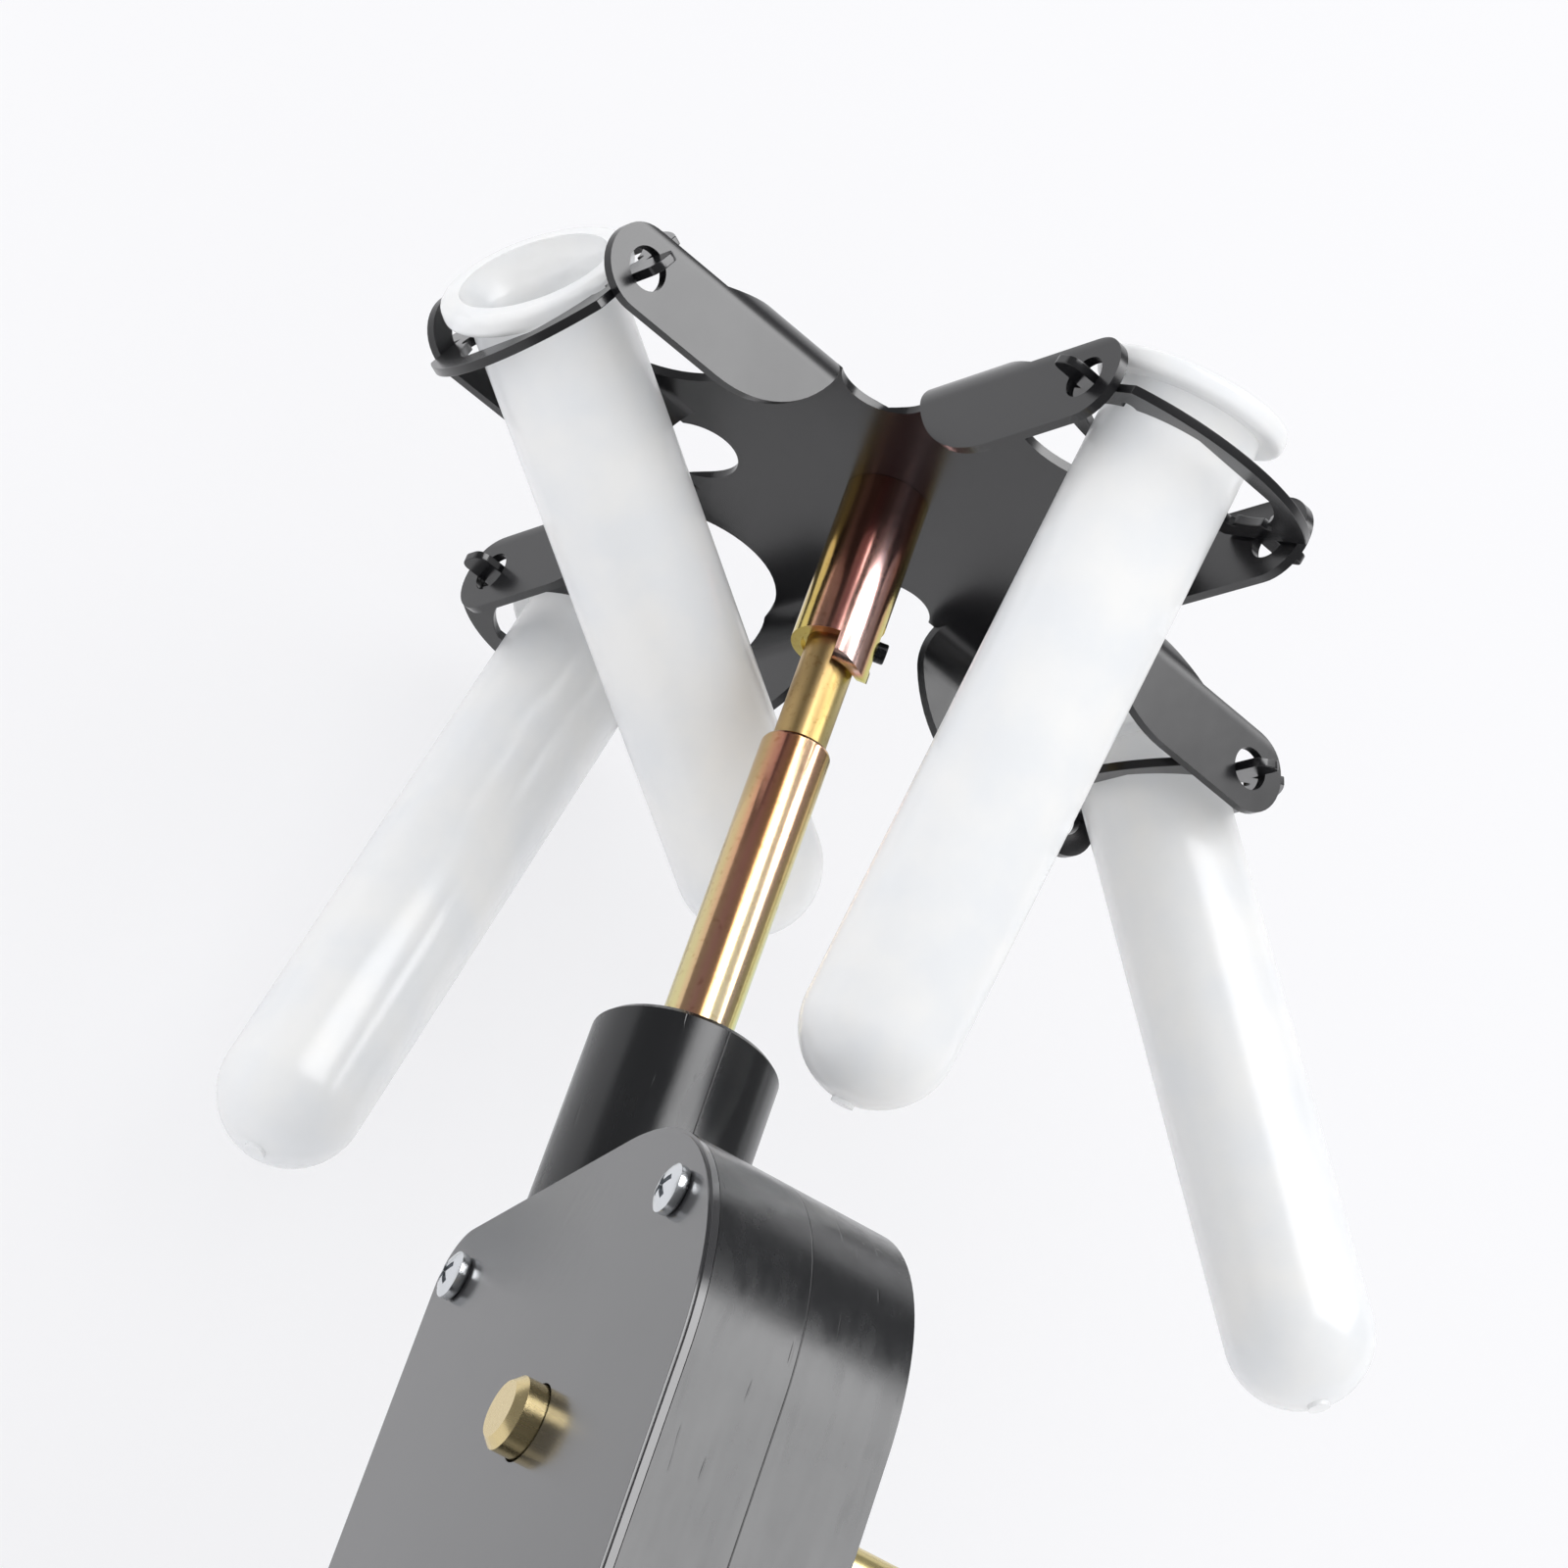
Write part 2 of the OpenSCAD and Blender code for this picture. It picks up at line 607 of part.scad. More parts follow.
module ring_outline() {
    half_w = ring_hole_w / 2 + ring_band;
    shoulder = ear_gap / 2 - 0.5;
    arc_r = 24.6;
    reach = ear_gap / 2 + sheet + ring_tongue_out;
    difference() {
        union() {
            intersection() {
                intersection() {
                    translate([0, half_w - arc_r]) circle(arc_r, $fn = 128);
                    translate([0, arc_r - half_w]) circle(arc_r, $fn = 128);
                }
                translate([-shoulder, -half_w]) square([2 * shoulder, 2 * half_w]);
            }
            // tongues through the holes of both ears
            translate([-reach, -ring_tongue_w / 2]) round_rect([2 * reach, ring_tongue_w], 1.7);
        }
        intersection() {
            circle(d = ring_hole_l, $fn = 96);
            square([ring_hole_l, ring_hole_w], center = true);
        }
        // relief notches beside the tongues
        for (x = [-1, 1], y = [-1, 1]) translate([x * (ring_hole_l / 2 - 0.3), y * 4.2]) circle(1.1);
    }
}

module ring(i) color(steel_black) on_hinge(i) translate([0, 0, -ring_t / 2]) linear_extrude(ring_t) ring_outline();

module ring_a() ring(0);
module ring_b() ring(1);
module ring_c() ring(2);
module ring_d() ring(3);

// half section of a tube: the flange's underside is at 0
module tube_section() {
    r = tube_d / 2;
    inner = r - tube_wall;
    foot = flange_t - tube_l + r;
    intersection() {
        difference() {
            union() {
                translate([0, foot]) circle(r, $fn = 96);
                translate([0, foot]) square([r, -foot + 1]);
                translate([-10, 0]) round_rect([flange_d / 2 + 10, flange_t], 1.2);
                // gate nub
                translate([0, foot - r - 0.5]) square([1.6, 2]);
            }
            translate([0, foot]) circle(inner, $fn = 96);
            translate([0, foot]) square([inner, -foot + flange_t + 1]);
            // step inside the mouth
            translate([0, flange_t - 2.2]) square([inner + 0.6, 4]);
            translate([0, flange_t]) circle(inner + 1.4);
        }
        translate([0, -tube_l]) square([flange_d, 2 * tube_l]);
    }
}

module tube(i) color(milky) on_hinge(i) translate([tube_slip[i], tube_drop[i], 0])
    rotate([0, -tube_lean[i], 0]) translate([0, 0, tube_seat[i]]) rotate_extrude() tube_section();

module tube_a() tube(0);
module tube_b() tube(1);
module tube_c() tube(2);
module tube_d() tube(3);

// ---------- bench clamp ----------

jaw_y1 = back_y + 9;
low_jaw_z = -throat - 10;
screw_y = -10;

module clamp_bracket() color(plastic_black) difference() {
    union() {
        rotate([90, 0, 90]) translate([0, 0, -clamp_w / 2]) linear_extrude(clamp_w) difference() {
            translate([-jaw_reach, low_jaw_z]) round_rect([jaw_reach + jaw_y1, jaw_t - low_jaw_z - seat_gap], 5);
            // throat with round inner corners
            translate([-jaw_reach - 10, -throat]) round_rect([jaw_reach + 10 + back_y, throat], 3);
        }
        // boss under the lower jaw, for the clamp screw
        translate([0, screw_y, low_jaw_z - 4]) cylinder(h = 14, d = clamp_screw_d + 10);
    }
    translate([0, screw_y, low_jaw_z - 6]) cylinder(h = 20, d = clamp_screw_d + 2 * fit);
    for (x = [-1, 1]) translate([x * clamp_w / 3.4, 0, 0]) {
        translate([0, 0, -1]) cylinder(h = jaw_t + 2, d = 5.4);
        translate([0, 0, -eps]) cylinder(h = 3.2, d1 = 11.4, d2 = 5.4);
    }
    // lightening pocket in the spine's back
    translate([-clamp_w / 4, jaw_y1 - 2.5, -throat + 4]) cube([clamp_w / 2, 4, throat - 8]);
}

module clamp_bolts() color(bright_steel) for (x = [-1, 1]) translate([x * clamp_w / 3.4, 0, 0.3]) difference() {
    union() {
        cylinder(h = 2.9, d1 = 10.6, d2 = 5);
        translate([0, 0, 2.8]) cylinder(h = jaw_t + floor_wall - 4.8, d = 5);
    }
    for (a = [0, 90]) rotate([0, 0, a]) translate([-2.4, -0.5, -1]) cube([4.8, 1, 2.2]);
}

pad_t = 5;
screw_top = -pad_gap - pad_t + 0.6;
screw_head_z = low_jaw_z - screw_below;

module clamp_screw() color(zinc_white) difference() {
    union() {
        translate([0, screw_y, screw_head_z + 6]) cylinder(h = screw_top - 6.9 - screw_head_z, d = clamp_screw_d);
        translate([0, screw_y, screw_top - 2]) cylinder(h = 2, d = clamp_screw_d - 4);
        translate([0, screw_y, screw_head_z]) cylinder(h = 14, d = clamp_screw_d + 5);
    }
    translate([-bar_l / 2, screw_y, screw_head_z + 7]) rotate([0, 90, 0]) cylinder(h = bar_l, d = bar_d + 0.3);
}

module clamp_pad() color(zinc_white) translate([0, screw_y, -pad_gap - pad_t]) difference() {
    union() {
        translate([0, 0, 1.5]) cylinder(h = pad_t - 1.5, d = pad_d);
        cylinder(h = 1.6, d1 = pad_d - 8, d2 = pad_d);
    }
    translate([0, 0, -1]) cylinder(h = 1.9, d = clamp_screw_d - 4 + 2 * fit);
}

module tommy_bar() color(zinc_white) translate([-bar_l / 2, screw_y, screw_head_z + 7]) rotate([0, 90, 0]) {
    cylinder(h = bar_l, d = bar_d);
    for (z = [0, bar_l]) translate([0, 0, z]) sphere(d = bar_d + 3);
}

housing();
cover_plate();
cover_screws();
rear_bush();
lower_bush();
spindle_sleeve();
crank_shaft();
worm_wheel();
wheel_pin();
spacer();
crank_arm();
crank_nut();
grip_pin();
crank_grip();
spindle_rod();
worm();
worm_pin();
drive_pin();
rotor_socket();
rotor_plate();
ring_a();
ring_b();
ring_c();
ring_d();
tube_a();
tube_b();
tube_c();
tube_d();
clamp_bracket();
clamp_bolts();
clamp_screw();
clamp_pad();
tommy_bar();
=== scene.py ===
import json
import math
import bpy
from mathutils import Matrix, Vector

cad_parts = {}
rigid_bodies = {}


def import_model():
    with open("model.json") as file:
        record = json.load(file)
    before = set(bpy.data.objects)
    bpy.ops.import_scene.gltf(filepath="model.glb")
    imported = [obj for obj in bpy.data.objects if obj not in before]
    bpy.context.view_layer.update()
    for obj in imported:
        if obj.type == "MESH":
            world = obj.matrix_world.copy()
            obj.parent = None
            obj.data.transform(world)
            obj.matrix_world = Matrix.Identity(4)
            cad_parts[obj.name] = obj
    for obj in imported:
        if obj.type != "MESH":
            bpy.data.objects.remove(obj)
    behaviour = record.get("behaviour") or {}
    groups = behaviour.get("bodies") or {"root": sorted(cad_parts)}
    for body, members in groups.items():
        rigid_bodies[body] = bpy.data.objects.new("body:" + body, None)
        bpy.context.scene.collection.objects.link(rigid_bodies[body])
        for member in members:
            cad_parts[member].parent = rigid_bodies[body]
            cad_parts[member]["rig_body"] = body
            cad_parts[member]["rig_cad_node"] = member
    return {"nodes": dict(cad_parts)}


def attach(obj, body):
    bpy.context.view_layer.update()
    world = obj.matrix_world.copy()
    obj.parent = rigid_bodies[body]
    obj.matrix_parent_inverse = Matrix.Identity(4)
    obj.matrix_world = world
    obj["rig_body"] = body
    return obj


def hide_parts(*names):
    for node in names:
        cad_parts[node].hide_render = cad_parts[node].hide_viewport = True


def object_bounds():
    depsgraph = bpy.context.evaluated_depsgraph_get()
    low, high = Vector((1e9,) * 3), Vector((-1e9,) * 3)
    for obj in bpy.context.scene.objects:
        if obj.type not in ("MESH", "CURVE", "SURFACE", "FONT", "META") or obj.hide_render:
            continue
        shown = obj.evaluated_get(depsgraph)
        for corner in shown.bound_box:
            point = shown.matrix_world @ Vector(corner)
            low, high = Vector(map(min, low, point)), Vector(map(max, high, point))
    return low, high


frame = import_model()
cad_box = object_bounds()
nodes = frame["nodes"]
mm = 0.001

# ---------------------------------------------------------------------------
# Camera. A long lens looks at the spindle from below the rotor and from the
# side of the crank shaft, with the spindle leaning in the picture.
camera_azimuth = math.radians(70.41)
camera_elevation = math.radians(-28.3)
camera_roll = math.radians(19.88)
camera_distance = 742.17 * mm
camera_lens = 124.3
aim_height = 163.89 * mm

back = Vector((math.sin(camera_azimuth) * math.cos(camera_elevation),
               -math.cos(camera_azimuth) * math.cos(camera_elevation),
               math.sin(camera_elevation)))
right = (-back).cross(Vector((0, 0, 1))).normalized()
up = back.cross(right)
right_rolled = right * math.cos(camera_roll) + up * math.sin(camera_roll)
up_rolled = up * math.cos(camera_roll) - right * math.sin(camera_roll)
eye = Vector((0, 0, aim_height)) + back * camera_distance
camera = bpy.data.objects.new("camera", bpy.data.cameras.new("camera"))
bpy.context.collection.objects.link(camera)
camera.matrix_world = Matrix((right_rolled, up_rolled, back)).transposed().to_4x4()
camera.location = eye
camera.data.lens = camera_lens
camera.data.sensor_width = 36
camera.data.clip_start = 0.05
camera.data.clip_end = 10
scene = bpy.context.scene
scene.camera = camera
scene.view_settings.view_transform = "Standard"


# ---------------------------------------------------------------------------
# Stage. The centrifuge lies with its left side towards a white table, which
# is seen from one side only, so that it never hides the part from behind.
def linear(hex_colour):
    """The opaque linear colour of an sRGB hex value."""
    channels = [int(hex_colour[i:i + 2], 16) / 255 for i in (1, 3, 5)]
    bent = [c / 12.92 if c <= 0.04045 else ((c + 0.055) / 1.055) ** 2.4 for c in channels]
    return bent + [1.0]


def add_node(tree, kind, inputs={}, **settings):
    """A node of the tree, with its settings and a value or a link for each input."""
    node = tree.nodes.new("ShaderNode" + kind)
    for name, value in settings.items():
        setattr(node, name, value)
    for name, value in inputs.items():
        socket = node.inputs[name]
        if isinstance(value, bpy.types.NodeSocket):
            tree.links.new(value, socket)
        else:
            socket.default_value = value
    return node


def within(tree, axis, centre, inner, outer):
    """One up to inner from a centre along an axis, and fading to zero at outer."""
    offset = add_node(tree, "Math", {0: axis, 1: centre}, operation="SUBTRACT")
    offset = add_node(tree, "Math", {0: offset.outputs[0]}, operation="ABSOLUTE")
    return add_node(tree, "MapRange", {"Value": offset.outputs[0],
                                       "From Min": inner, "From Max": outer,
                                       "To Min": 1.0, "To Max": 0.0},
                    interpolation_type="SMOOTHSTEP")


table_size = 6.0
table_middle = 0.1
table_gap = 6 * mm
bpy.ops.object.select_all(action="DESELECT")
bpy.ops.mesh.primitive_plane_add(size=table_size,
                                 location=(cad_box[0].x - table_gap, 0, table_middle),
                                 rotation=(0, math.radians(90), 0))
table = bpy.context.object
table.name = "table"
table_paper = bpy.data.materials.new("table_paper")
table_paper.use_nodes = True
tree = table_paper.node_tree
tree.nodes.clear()
light_path = add_node(tree, "LightPath")
seen = add_node(tree, "Math", {0: light_path.outputs["Is Camera Ray"],
                               1: light_path.outputs["Is Transmission Ray"]},
                operation="MAXIMUM")
seen = add_node(tree, "Math", {0: seen.outputs[0], 1: light_path.outputs["Is Glossy Ray"]},
                operation="MAXIMUM")
facing = add_node(tree, "NewGeometry")
shaded = add_node(tree, "BsdfDiffuse", {"Color": linear("#f3f3f5")})
glow = add_node(tree, "Emission", {"Color": linear("#f6f6f8"), "Strength": 1.0})
# Most of the white is the table's own light, so that shadows on it stay faint.
own_light = 0.72
white = add_node(tree, "MixShader", {0: own_light, 1: shaded.outputs[0], 2: glow.outputs[0]})
lit = add_node(tree, "MixShader", {0: seen.outputs[0], 1: shaded.outputs[0],
                                   2: white.outputs[0]})
clear = add_node(tree, "BsdfTransparent")
one_sided = add_node(tree, "MixShader", {0: facing.outputs["Backfacing"],
                                         1: lit.outputs[0], 2: clear.outputs[0]})
add_node(tree, "OutputMaterial", {"Surface": one_sided.outputs[0]})
table.data.materials.append(table_paper)

# Studio light. The white table and the open room light everything evenly. Gloss shows the
# white on the table's side, a dark room on the other side, and one broad soft box in it.
even_light = 1.16
dark_room = 0.27
box_gloss = 6.2
world = bpy.data.worlds.new("studio")
scene.world = world
world.use_nodes = True
tree = world.node_tree
tree.nodes.clear()
toward = add_node(tree, "TexCoord").outputs["Generated"]
axes = add_node(tree, "SeparateXYZ", {0: toward})
room = add_node(tree, "MapRange", {"Value": axes.outputs["X"], "From Min": -0.14, "From Max": 0.0},
                interpolation_type="SMOOTHSTEP")
box_across = within(tree, axes.outputs["Y"], centre=0.18, inner=0.44, outer=0.54)
box_along = within(tree, axes.outputs["Z"], centre=0.45, inner=0.24, outer=0.32)
soft_box = add_node(tree, "Math", {0: box_across.outputs[0], 1: box_along.outputs[0]},
                    operation="MULTIPLY")
soft_box = add_node(tree, "Math", {0: soft_box.outputs[0], 1: room.outputs[0]},
                    operation="MULTIPLY")
walls = add_node(tree, "MapRange", {"Value": room.outputs[0], "To Min": 1.0, "To Max": dark_room})
gloss = add_node(tree, "Math", {0: soft_box.outputs[0], 1: box_gloss, 2: walls.outputs[0]},
                 operation="MULTIPLY_ADD")
light_path = add_node(tree, "LightPath")
even = add_node(tree, "MapRange", {"Value": light_path.outputs["Is Camera Ray"],
                                   "To Min": even_light, "To Max": 1.0})
mirrored = add_node(tree, "Math", {0: light_path.outputs["Is Glossy Ray"],
                                   1: light_path.outputs["Is Transmission Ray"]},
                    operation="SUBTRACT", use_clamp=True)
level = add_node(tree, "Mix", {0: mirrored.outputs[0], 2: even.outputs[0], 3: gloss.outputs[0]})
studio = add_node(tree, "Background", {"Color": linear("#fcfcfd"), "Strength": level.outputs[0]})
add_node(tree, "OutputWorld", {"Surface": studio.outputs[0]})

lamp = bpy.data.lights.new("soft_box", "AREA")
lamp.shape = "RECTANGLE"
lamp.size = 1.0
lamp.size_y = 0.7
lamp.energy = 1.8
box = bpy.data.objects.new("soft_box", lamp)
bpy.context.collection.objects.link(box)
box.location = (0.96, 0.40, 0.70)
box_aim = Vector((0, 0, 0.14))
box.rotation_mode = "QUATERNION"
box.rotation_quaternion = (box_aim - box.location).to_track_quat("-Z", "Y")


# ---------------------------------------------------------------------------
# Case. A hollow moulding of black ABS with the neck in one piece, closed by
# the cover. The mould's two halves leave a fine line round its middle.
# Angles, in degrees, between faces that are shaded as one, that get a round edge, and that
# are one flat face; and the gap that closes between points.
smooth_angle = 35
bevel_angle = 28
flat_angle = 0.3
weld_gap = 0.002 * mm


def soft_edged(node, edge, cutters=()):
    """A copy of a solid with flat faces joined, cut where asked, and its edges rounded."""
    bpy.ops.object.select_all(action="DESELECT")
    piece = nodes[node].copy()
    piece.data = nodes[node].data.copy()
    piece.name = node + "_finished"
    piece.parent = None
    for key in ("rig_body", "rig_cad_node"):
        del piece[key]
    bpy.context.collection.objects.link(piece)
    piece.select_set(True)
    bpy.context.view_layer.objects.active = piece
    bpy.ops.object.mode_set(mode="EDIT")
    bpy.ops.mesh.select_all(action="SELECT")
    bpy.ops.mesh.remove_doubles(threshold=weld_gap)
    bpy.ops.mesh.dissolve_limited(angle_limit=math.radians(flat_angle))
    bpy.ops.object.mode_set(mode="OBJECT")
    for cutter in cutters:
        cut = piece.modifiers.new("cut", "BOOLEAN")
        cut.operation = "DIFFERENCE"
        cut.object = cutter
        bpy.ops.object.modifier_apply(modifier=cut.name)
        bpy.data.objects.remove(cutter)
    if edge:
        bevel = piece.modifiers.new("broken edges", "BEVEL")
        bevel.width = edge
        bevel.segments = 3
        bevel.limit_method = "ANGLE"
        bevel.angle_limit = math.radians(bevel_angle)
        bevel.use_clamp_overlap = True
        bpy.ops.object.modifier_apply(modifier=bevel.name)
    bpy.ops.object.shade_smooth_by_angle(angle=math.radians(smooth_angle))
    flat_faces = piece.modifiers.new("flat faces", "WEIGHTED_NORMAL")
    flat_faces.keep_sharp = True
    bpy.ops.object.modifier_apply(modifier=flat_faces.name)
    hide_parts(node)
    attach(piece, nodes[node]["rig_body"])
    return piece


def paint(piece, material):
    """One material all over a piece."""
    piece.data.materials.clear()
    piece.data.materials.append(material)


def new_finish(name):
    """A new material, its node tree and shader, and each point's place on the piece."""
    finish = bpy.data.materials.new(name)
    finish.use_nodes = True
    tree = finish.node_tree
    place = add_node(tree, "TexCoord").outputs["Object"]
    return finish, tree, tree.nodes["Principled BSDF"], place


def set_roughness(tree, shader, field, low, high):
    """Roughness that follows a field from low to high."""
    levels = add_node(tree, "MapRange", {"Value": field.outputs[0], "To Min": low, "To Max": high})
    tree.links.new(levels.outputs[0], shader.inputs["Roughness"])


def set_relief(tree, shader, field, strength, depth, **settings):
    """Fine relief that follows a field, with its depth in mm."""
    bump = add_node(tree, "Bump", {"Height": field.outputs[0], "Strength": strength,
                                   "Distance": depth * mm}, **settings)
    tree.links.new(bump.outputs[0], shader.inputs["Normal"])


# Black ABS, satin as moulded: soft wide highlights, streaked and rubbed brighter by
# hands, with the odd hairline scratch. The mould's joint is a fine groove whose colour
# is painted darker, as painted shade in the groove, and the scratches are darker too.
moulded_abs, tree, abs_shader, place = new_finish("moulded_abs")
streak_place = add_node(tree, "Mapping", {"Vector": place, "Scale": (1.0, 1.0, 0.12)})
streaks = add_node(tree, "TexNoise", {"Vector": streak_place.outputs[0], "Scale": 420.0,
                                      "Detail": 4.0, "Roughness": 0.6})
rubs = add_node(tree, "TexNoise", {"Vector": place, "Scale": 55.0,
                                   "Detail": 5.0, "Roughness": 0.6})
marks = add_node(tree, "Math", {0: streaks.outputs[0], 1: rubs.outputs[0]}, operation="ADD")
rub_levels = add_node(tree, "MapRange", {"Value": marks.outputs[0],
                                         "From Min": 0.75, "From Max": 1.25,
                                         "To Min": 0.17, "To Max": 0.30})
tree.links.new(rub_levels.outputs[0], abs_shader.inputs["Roughness"])
axes = add_node(tree, "SeparateXYZ", {0: place})
mould_line_half = 0.14 * mm
mould_line = within(tree, axes.outputs["Y"], centre=0.0, inner=0.0, outer=mould_line_half)
scratch_place = add_node(tree, "Mapping", {"Vector": place, "Rotation": (0.5, 0.2, 0.9),
                                           "Scale": (0.08, 1.0, 0.08)})
scratch_field = add_node(tree, "TexNoise", {"Vector": scratch_place.outputs[0],
                                            "Scale": 1500.0, "Detail": 0.0})
scratches = add_node(tree, "MapRange", {"Value": scratch_field.outputs[0],
                                        "From Min": 0.80, "From Max": 0.86, "To Max": 0.7})
groove_shade_and_scratches = add_node(tree, "Math", {0: mould_line.outputs[0], 1: scratches.outputs[0]},
                 operation="MAXIMUM")
grain = add_node(tree, "TexNoise", {"Vector": place, "Scale": 1400.0, "Detail": 2.0})
grain_share = 0.08
relief = add_node(tree, "Math", {0: grain.outputs[0], 1: grain_share, 2: groove_shade_and_scratches.outputs[0]},
                  operation="MULTIPLY_ADD")
set_relief(tree, abs_shader, relief, strength=0.45, depth=0.12, invert=True)
# Painted shade: the colour darkens along the mould line's groove, and along the scratches.
abs_colour_and_groove_shade = add_node(tree, "Mix", {0: groove_shade_and_scratches.outputs[0], 6: linear("#161719"),
                                    7: linear("#08080a")}, data_type="RGBA")
tree.links.new(abs_colour_and_groove_shade.outputs[2], abs_shader.inputs["Base Color"])
abs_shader.inputs["IOR"].default_value = 1.52

paint(soft_edged("housing", 0.45 * mm), moulded_abs)

# ---------------------------------------------------------------------------
# Cover. A pressed steel plate with rolled edges, stoved in black enamel that
# is hard and glossy, with a faint orange peel. Four screws hold it to the case.
enamel, tree, enamel_shader, place = new_finish("stoved_enamel")
peel = add_node(tree, "TexNoise", {"Vector": place, "Scale": 420.0, "Detail": 2.0})
set_relief(tree, enamel_shader, peel, strength=0.06, depth=0.2)
haze = add_node(tree, "TexNoise", {"Vector": place, "Scale": 35.0, "Detail": 4.0})
set_roughness(tree, enamel_shader, haze, low=0.13, high=0.26)
enamel_shader.inputs["Base Color"].default_value = linear("#303032")
enamel_shader.inputs["Coat Weight"].default_value = 0.4
enamel_shader.inputs["Coat Roughness"].default_value = 0.12
enamel_shader.inputs["IOR"].default_value = 1.54

paint(soft_edged("cover_plate", 0.6 * mm), enamel)

# ---------------------------------------------------------------------------
# Cover screws, crank nut, handle bolt, and the clamp's screw, pad and bar.
# Turned steel with a bright zinc plating that shows its fine crystals.
bright_zinc, tree, zinc_shader, place = new_finish("bright_zinc")
crystals = add_node(tree, "TexNoise", {"Vector": place, "Scale": 900.0, "Detail": 3.0})
set_roughness(tree, zinc_shader, crystals, low=0.14, high=0.34)
set_relief(tree, zinc_shader, crystals, strength=0.25, depth=0.15)
zinc_shader.inputs["Base Color"].default_value = linear("#d9dcdf")
zinc_shader.inputs["Metallic"].default_value = 1.0

for node in ("cover_screws", "crank_nut", "grip_pin", "clamp_screw", "clamp_pad", "tommy_bar"):
    paint(soft_edged(node, 0.12 * mm), bright_zinc)

# ---------------------------------------------------------------------------
# Spindle, sleeve, socket and crank shaft. Drawn steel, zinc plated and
# passivated yellow: the film shifts from pale gold to pink and green round
# each bar, with lengthwise draw lines and a little mottling. On the sleeve and
# socket the colour round the bar also holds painted reflections: a painted
# highlight where the soft box reflects, and painted shade on the side facing the camera.
along_z = (1.0, 1.0, 0.05)
along_y = (1.0, 0.05, 1.0)
film_wander = 0.10
full_pink = 0.42


def yellow_zinc(name, film_and_reflection_bands, pinker, roughness, grain=along_z, spotting=0.45):
    """Yellow passivated zinc. Bands are (degrees round the upright axis, colour): the film's
    gold, pink and green, with a painted highlight in the light bands where the soft box
    reflects and painted shade in the dark band on the side that faces the camera. Pinker is
    the two heights, in mm, between which the film turns pink. Roughness is its two ends,
    grain stretches the draw lines, and spotting is how strongly the film is mottled."""
    finish, tree, shader, place = new_finish(name)
    axes = add_node(tree, "SeparateXYZ", {0: place})
    drawn = add_node(tree, "Mapping", {"Vector": place, "Scale": grain})
    draw_lines = add_node(tree, "TexNoise", {"Vector": drawn.outputs[0], "Scale": 1100.0,
                                             "Detail": 3.0})
    mottle = add_node(tree, "TexNoise", {"Vector": place, "Scale": 900.0,
                                         "Detail": 4.0, "Roughness": 0.7})
    drift = add_node(tree, "TexNoise", {"Vector": drawn.outputs[0], "Scale": 260.0, "Detail": 3.0})
    angle = add_node(tree, "Math", {0: axes.outputs["Y"], 1: axes.outputs["X"]},
                     operation="ARCTAN2")
    turn = add_node(tree, "MapRange", {"Value": angle.outputs[0],
                                       "From Min": -math.pi, "From Max": math.pi})
    shift = add_node(tree, "Math", {0: drift.outputs[0], 1: 0.5}, operation="SUBTRACT")
    turn = add_node(tree, "Math", {0: shift.outputs[0], 1: film_wander, 2: turn.outputs[0]},
                    operation="MULTIPLY_ADD")
    # Round the bar the ramp paints the film's colours, and with them a painted highlight where the
    # soft box reflects and painted shade on the side that faces the camera.
    film = add_node(tree, "ValToRGB", {"Fac": turn.outputs[0]})
    ramp = film.color_ramp.elements
    for end, (degrees, colour) in ((ramp[0], film_and_reflection_bands[0]), (ramp[1], film_and_reflection_bands[-1])):
        end.position = (degrees + 180) / 360
        end.color = linear(colour)
    for degrees, colour in film_and_reflection_bands[1:-1]:
        ramp.new((degrees + 180) / 360).color = linear(colour)
    pink = add_node(tree, "MapRange", {"Value": axes.outputs["Z"], "From Min": pinker[0] * mm,
                                       "From Max": pinker[1] * mm, "To Max": full_pink},
                    interpolation_type="SMOOTHSTEP")
    pink_film = add_node(tree, "Mix", {0: pink.outputs[0], 6: film.outputs[0],
                                       7: linear("#e59c98")},
                         data_type="RGBA", blend_type="MULTIPLY")
    spots = add_node(tree, "MapRange", {"Value": mottle.outputs[0],
                                        "From Min": 0.56, "From Max": 0.70, "To Max": spotting})
    mottled = add_node(tree, "Mix", {0: spots.outputs[0], 6: pink_film.outputs[2],
                                     7: linear("#c7a676")},
                       data_type="RGBA", blend_type="MULTIPLY")
    tree.links.new(mottled.outputs[2], shader.inputs["Base Color"])
    set_roughness(tree, shader, draw_lines, *roughness)
    relief = add_node(tree, "Math", {0: mottle.outputs[0], 1: draw_lines.outputs[0]},
                      operation="ADD")
    set_relief(tree, shader, relief, strength=0.10, depth=0.08)
    shader.inputs["Metallic"].default_value = 1.0
    return finish


# The sleeve's light bands at -6 to 20 degrees are a painted highlight, and its dark band at -22
# degrees is painted shade.
sleeve_film_and_painted_reflection = yellow_zinc(
    "yellow_zinc_sleeve",
    [(-150, "#d5c993"), (-72, "#d6cb96"), (-56, "#dcb690"), (-40, "#d69f8c"), (-22, "#c79f6a"),
     (-6, "#f0e2ba"), (20, "#f3d6b4"), (38, "#e2d488"), (60, "#c8cf92"), (130, "#d5c993")],
    pinker=(122, 172), roughness=(0.10, 0.24))
